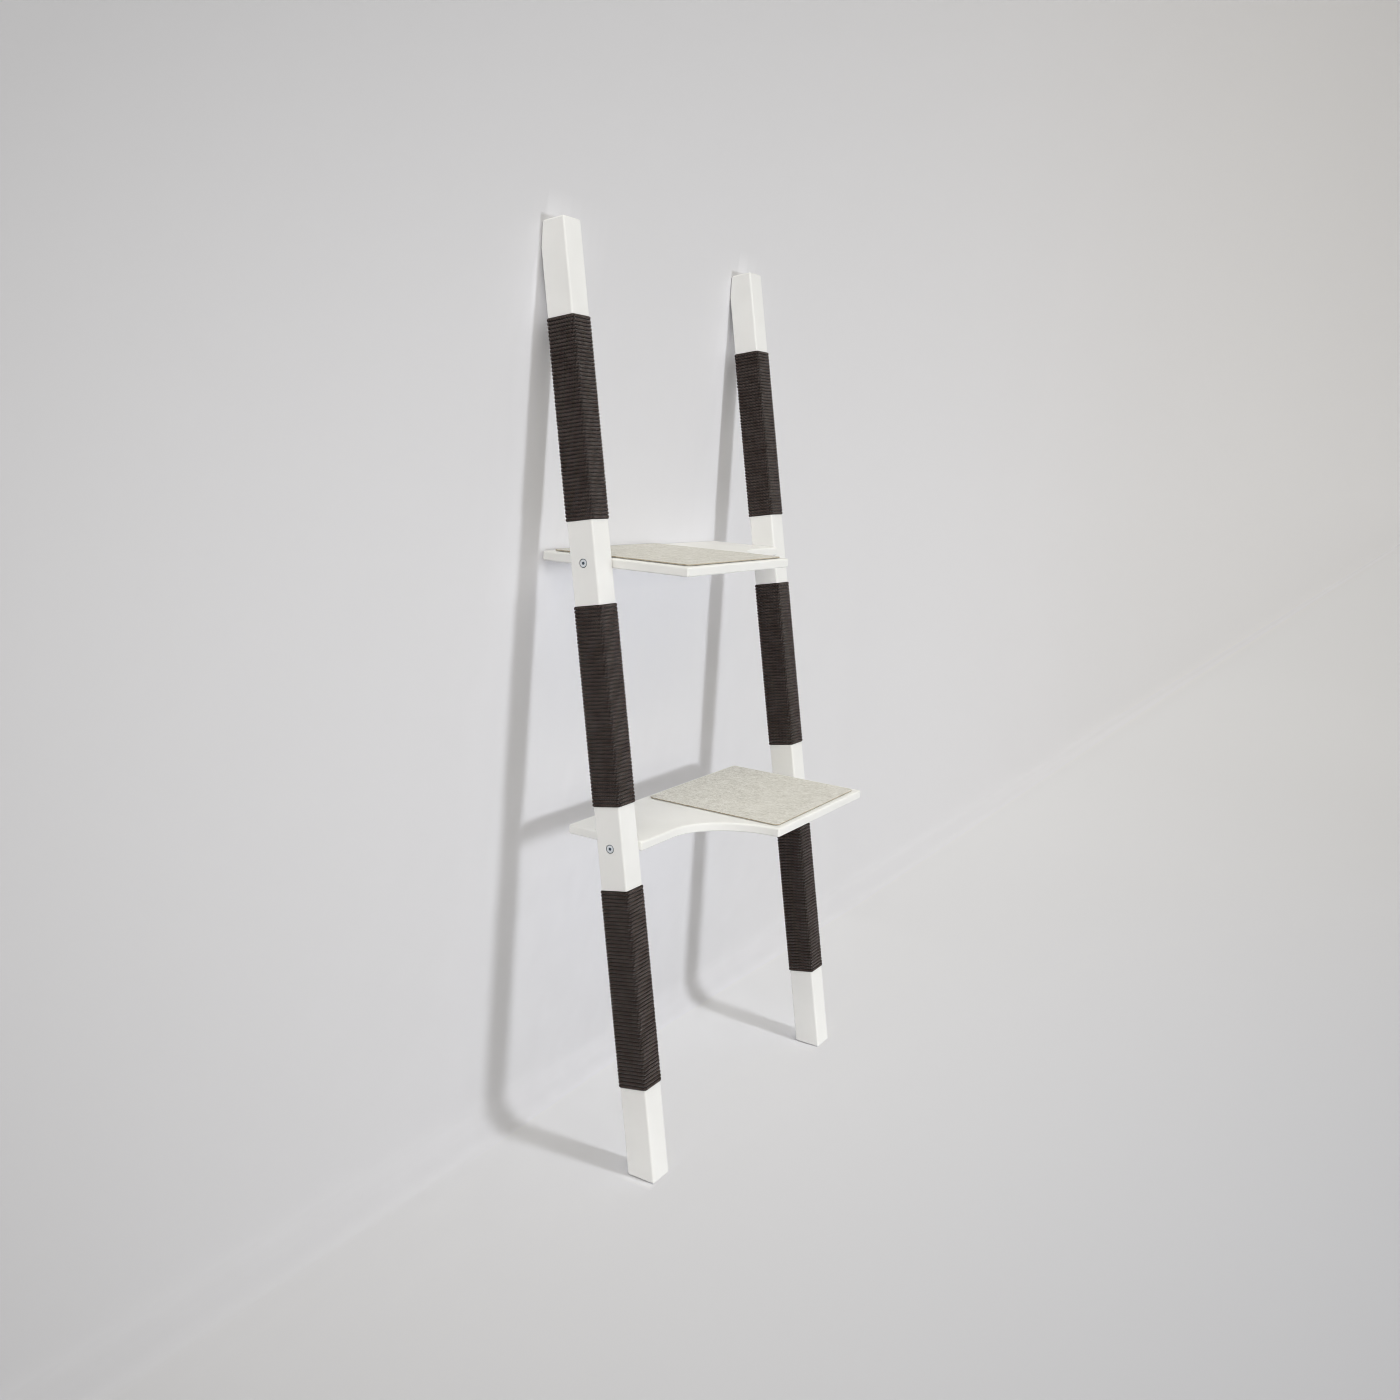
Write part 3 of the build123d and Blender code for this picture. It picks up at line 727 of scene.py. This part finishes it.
pale_tree = blocking_tree(("left_post", "right_post", "upper_shelf", "lower_shelf"))
dark_tree = blocking_tree([f"{side}_rope_{level_name}" for side in ("left", "right")
                           for level_name in ("bottom", "middle", "top")])
ways, levels = all_ways()
way_list, level_list = [Vector(way) for way in ways], levels.tolist()
weight_lists = [way_weights(step).tolist() for step in range(sweep_steps + 1)]
open_light = [float(np.dot(weights, levels)) for weights in weight_lists]


def is_near(point):
    """Whether the ladder hides enough from there to count."""
    return abs(point.x) < near_half_width and point.y > near_front and point.z < near_height


def soft_light_near(point, step):
    """Soft light on the backdrop beside the ladder, which hides a part of the room."""
    start = point + facing(sweep_slope(step)) * ray_lift
    total = 0
    for way, weight, level in zip(way_list, weight_lists[step], level_list):
        if weight:
            if dark_tree.ray_cast(start, way, ray_reach)[0]:
                level = rope_glow
            elif pale_tree.ray_cast(start, way, ray_reach)[0]:
                level = lacquer_glow
            total += weight * level
    return total


def seen_share(point, step, place, aim, size):
    """Share of a lamp's disc that the ladder doesn't hide from the backdrop there."""
    start = point + facing(sweep_slope(step)) * ray_lift
    turn = (aim - place).to_track_quat("-Z", "Y")
    ring = [turn @ Vector((math.cos(angle), math.sin(angle), 0)) for angle in turn_angles(lamp_ring_spots)]
    rays = [place + spot * reach * size / 2 - start for reach in lamp_rings for spot in ring]
    hidden = [ray for ray in rays
              if any(tree.ray_cast(start, ray.normalized())[0] for tree in (dark_tree, pale_tree))]
    return 1 - len(hidden) / len(rays)


def lamp_light(point, step):
    """Light of the lamps on the backdrop, whose shading leans away from its real slope there.

    Only the high lamp's shadow is evened out with paint: the front lamp's is the one that shows.
    """
    total = 0
    real_way = facing(sweep_slope(step))
    for name, place, aim, size, distance, level, colour in lamps:
        if name == "high lamp" and is_near(point):
            level *= seen_share(point, step, place, aim, size)
        away = place - point
        ray = away.normalized()
        real, leaning = ray.dot(real_way), ray.dot(shading_way)
        if real > 0 and leaning > 0:
            soft = soft_share(real / leaning / real_way.dot(shading_way))
            from_disc = max(0, ray.dot((place - aim).normalized()))
            total += level * soft * leaning * from_disc * (distance / away.length) ** 2
    return total


def evened_level(x, step):
    """Level that the backdrop is to have there: the wall's, the floor's or one between them."""
    wall_part = step / sweep_steps
    wall_share = float(np.interp(x, *zip(*wall_evening)))
    floor_share = float(np.interp(x, *zip(*floor_evening)))
    far_part = float(np.interp(x, (far_bend_start, far_bend_full), (0, 1)))
    evening = 1 + (wall_share - 1) * wall_part ** 3 + (floor_share - 1) * (1 - wall_part) ** 3
    evening += far_bend_lift * far_part * math.sin(math.pi * wall_part) ** 2
    return evening * (floor_level + (wall_level - floor_level) * wall_part)


def paint_level(point, step):
    """Paint that gives an even backdrop, a little darker toward the edge of the view."""
    middle_ray = (camera_right * shift_x + camera_up * shift_y) * sensor / lens - camera_behind
    cosine = (point - camera_place).normalized().dot(middle_ray.normalized())
    off_square = 1 / max(cosine, widest_cosine) ** 2 - 1
    light = open_light[step]
    if is_near(point):
        light = max(least_open * light, soft_light_near(point, step))
    return evened_level(point.x, step) / (1 + edge_darkening * off_square) / (light + lamp_light(point, step))


def painted_backdrop():
    """Matt paint, whose shading leans the same way on wall and floor, as on a much wider bend.

    Paint that would have to be whiter than the whitest is made up by a glow that only the camera sees.
    """
    material = new_material("backdrop paint")
    tree = material.node_tree
    wanted = add_node(tree, "ShaderNodeAttribute", {"attribute_name": "paint"}).outputs["Fac"]
    level = add_node(tree, "ShaderNodeMath", {"operation": "MINIMUM"}, _0=wanted, _1=whitest_paint).outputs[0]
    bluer = add_node(tree, "ShaderNodeMath", {"operation": "MULTIPLY"}, _0=level, _1=blue_share).outputs[0]
    paint_colour = add_node(tree, "ShaderNodeCombineColor", Red=level, Green=level, Blue=bluer).outputs[0]
    leaning = add_node(tree, "ShaderNodeCombineXYZ", X=shading_way.x, Y=shading_way.y, Z=shading_way.z)
    matt = add_node(tree, "ShaderNodeBsdfDiffuse", Color=paint_colour, Normal=leaning.outputs[0])
    seen_directly = add_node(tree, "ShaderNodeLightPath").outputs["Is Camera Ray"]
    missing = add_node(tree, "ShaderNodeMath", {"operation": "SUBTRACT"}, _0=wanted, _1=level)
    lift = add_node(tree, "ShaderNodeMath", {"operation": "MULTIPLY"}, _0=missing.outputs[0], _1=glow_share)
    glow = add_node(tree, "ShaderNodeMath", {"operation": "MULTIPLY"}, _0=lift.outputs[0], _1=seen_directly)
    pale = add_node(tree, "ShaderNodeEmission", Strength=glow.outputs[0])
    face = add_node(tree, "ShaderNodeAddShader", _0=matt.outputs[0], _1=pale.outputs[0])
    nothing = add_node(tree, "ShaderNodeBsdfTransparent")
    back = add_node(tree, "ShaderNodeNewGeometry").outputs["Backfacing"]
    shader = add_node(tree, "ShaderNodeMixShader", _0=back, _1=face.outputs[0], _2=nothing.outputs[0])
    return finish_material(material, shader)


# The backdrop's outline has rows of y, z, row of the bend, share of light there.
back_y = wall_y + wall_gap
outline = [(-y, 0.0, 0, 1) for y in spread(room_rows)[:0:-1]]
outline += [(y, 0.0, 0, 1) for y in np.linspace(0, back_y - sweep_radius, 4)[:-1]]
for step, share in enumerate(sweep_shares):
    away, up = math.sin(sweep_slope(step)), 1 - math.cos(sweep_slope(step))
    outline.append((back_y - sweep_radius + sweep_radius * away, sweep_radius * up, step, share))
for z in spread(room_rows)[1:]:
    low_part = max(0, 1 - z / low_wall_top)
    outline.append((back_y, z + sweep_radius, sweep_steps, 1 + (low_wall_share - 1) * low_part))
columns = [-x for x in spread(room_columns)[:0:-1]] + spread(room_columns)
points = [(x, y, z) for x in columns for y, z, step, share in outline]
rows = len(outline)
faces = [(i * rows + j, (i + 1) * rows + j, (i + 1) * rows + j + 1, i * rows + j + 1)
         for i in range(len(columns) - 1) for j in range(rows - 1)]
mesh = bpy.data.meshes.new("backdrop")
mesh.from_pydata(points, [], faces)
mesh.shade_smooth()
paint = mesh.attributes.new("paint", "FLOAT", "POINT")
for index, point in enumerate(points):
    step, share = outline[index % rows][2:]
    paint.data[index].value = paint_level(Vector(point), step) / share
mesh.materials.append(painted_backdrop())
backdrop = add_object("backdrop", mesh)

# The light: one round lamp at chest height in front of the ladder, a weak one high
# at the left, and soft light from above and from the left.

for name, place, aim, size, distance, level, colour in lamps:
    lamp_data = bpy.data.lights.new(name, "AREA")
    lamp_data.shape = "DISK"
    lamp_data.size = size
    lamp_data.energy = level * (math.pi * distance) ** 2
    lamp_data.color = colour
    lamp = add_object(name, lamp_data)
    turn = (aim - place).to_track_quat("-Z", "Y")
    lamp.matrix_world = Matrix.Translation(place) @ turn.to_matrix().to_4x4()

world = bpy.data.worlds.new("soft studio")
bpy.context.scene.world = world
world.use_nodes = True
tree = world.node_tree
tree.nodes.clear()
way = add_node(tree, "ShaderNodeTexCoord").outputs["Generated"]
parts = add_node(tree, "ShaderNodeSeparateXYZ", Vector=way)
above = add_node(tree, "ShaderNodeMath", {"operation": "MAXIMUM"}, _0=parts.outputs["Z"], _1=0.0)
steep = add_node(tree, "ShaderNodeMath", {"operation": "POWER"}, _0=above.outputs[0], _1=2.0)
high_part = add_node(tree, "ShaderNodeMath", {"operation": "MULTIPLY"}, _0=steep.outputs[0], _1=sky_above)
leftward = add_node(tree, "ShaderNodeMath", {"operation": "MULTIPLY"}, _0=parts.outputs["X"], _1=-1.0)
left = add_node(tree, "ShaderNodeMath", {"operation": "MAXIMUM"}, _0=leftward.outputs[0], _1=0.0)
sky_level = add_node(tree, "ShaderNodeMath", {"operation": "MULTIPLY_ADD"},
                     _0=left.outputs[0], _1=sky_left, _2=high_part.outputs[0])
soft_light = add_node(tree, "ShaderNodeBackground", Color=linear("#FFFCF3"), Strength=sky_level.outputs[0])
seen = add_node(tree, "ShaderNodeBackground", Color=linear("#C4C4C4"), Strength=1.0)
camera_ray = add_node(tree, "ShaderNodeLightPath").outputs["Is Camera Ray"]
both = add_node(tree, "ShaderNodeMixShader", _0=camera_ray, _1=soft_light.outputs[0], _2=seen.outputs[0])
add_node(tree, "ShaderNodeOutputWorld", Surface=both.outputs[0])

# The camera: it stands to the left of the ladder at chest height, and looks along the wall.
# Its pixels are a little crisper than usual, as the photograph's are.

camera_data = bpy.data.cameras.new("camera")
camera_data.sensor_width = sensor
camera_data.lens = lens
camera_data.shift_x = shift_x
camera_data.shift_y = shift_y
camera_data.clip_end = 200.0
camera = add_object("camera", camera_data)
camera_turn = Matrix((camera_right, camera_up, camera_behind)).transposed().to_4x4()
camera.matrix_world = Matrix.Translation(camera_place) @ camera_turn
bpy.context.scene.camera = camera
bpy.context.scene.view_settings.view_transform = "Standard"
bpy.context.scene.cycles.filter_width = 1.0
